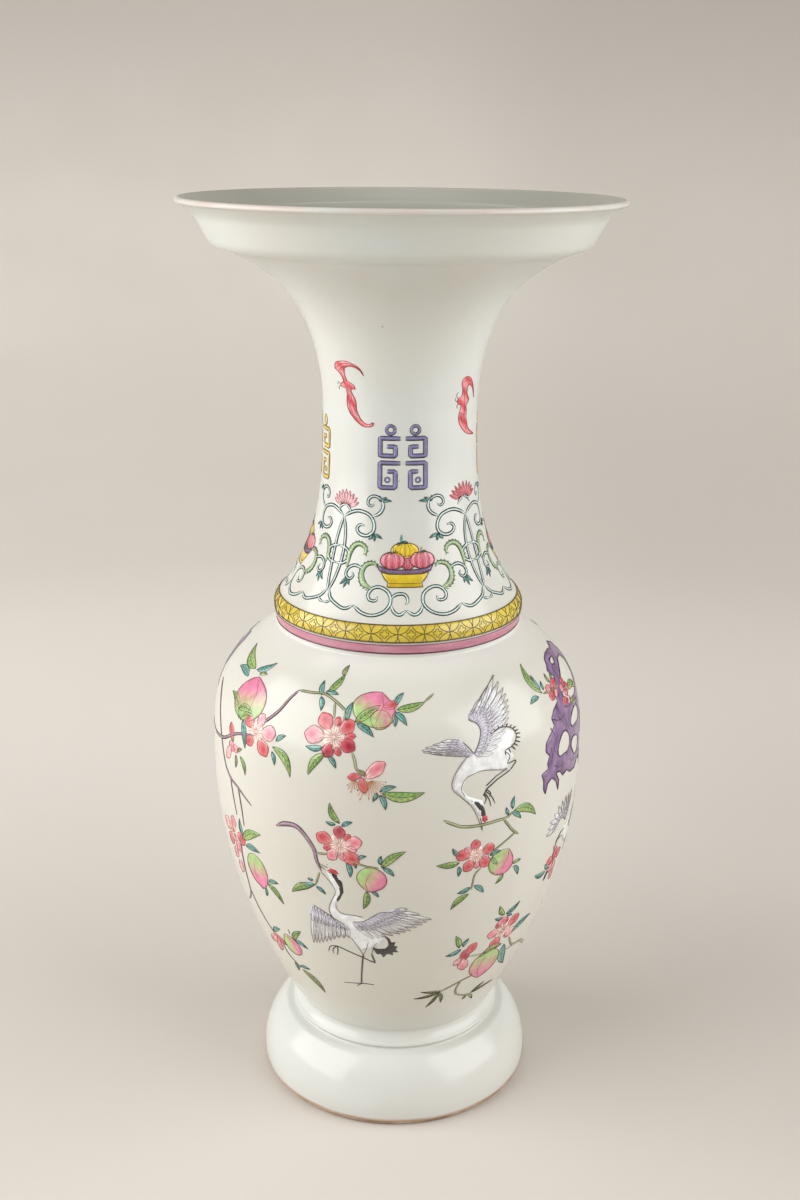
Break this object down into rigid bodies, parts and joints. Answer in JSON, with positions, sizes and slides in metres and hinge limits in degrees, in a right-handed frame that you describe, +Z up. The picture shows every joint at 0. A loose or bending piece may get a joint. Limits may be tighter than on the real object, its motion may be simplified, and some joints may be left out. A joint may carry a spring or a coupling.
{
  "type": "porcelain vase",
  "caption": "Tall baluster vase with a spreading foot, a ridged collar, a flared neck and a dish mouth, painted in overglaze enamels; holds tall stems or stands for show.",
  "frame": {"origin": "centre of the foot rim, on the surface the vase stands on", "axes": "+Z up along the vase's axis, towards the mouth; -Y faces the viewer"},
  "size_m": [0.2746, 0.2746, 0.6],
  "materials": {
    "glazed_porcelain": "gloss",
    "biscuit": "matte",
    "slip": "matte",
    "yellow_enamel": "gloss",
    "pink_enamel": "gloss",
    "red_enamel": "gloss",
    "green_enamel": "gloss",
    "turquoise_enamel": "gloss",
    "purple_enamel": "gloss",
    "black_enamel": "satin"
  },
  "bodies": {
    "root": {"foot_rim": "biscuit", "foot_skirt": "glazed_porcelain", "foot_slip": "slip", "waist_ring": "glazed_porcelain", "waist_slip": "slip", "floor_disc": "glazed_porcelain", "floor_slip": "slip", "lower_body": "glazed_porcelain", "body_slip": "slip", "upper_body": "glazed_porcelain", "shoulder_slip": "slip", "collar_ring": "glazed_porcelain", "collar_slip": "slip", "neck": "glazed_porcelain", "mouth_slip": "slip", "mouth": "glazed_porcelain", "yellow_enamel_band": "yellow_enamel", "rose_enamel_band": "pink_enamel"}
  },
  "joints": []
}
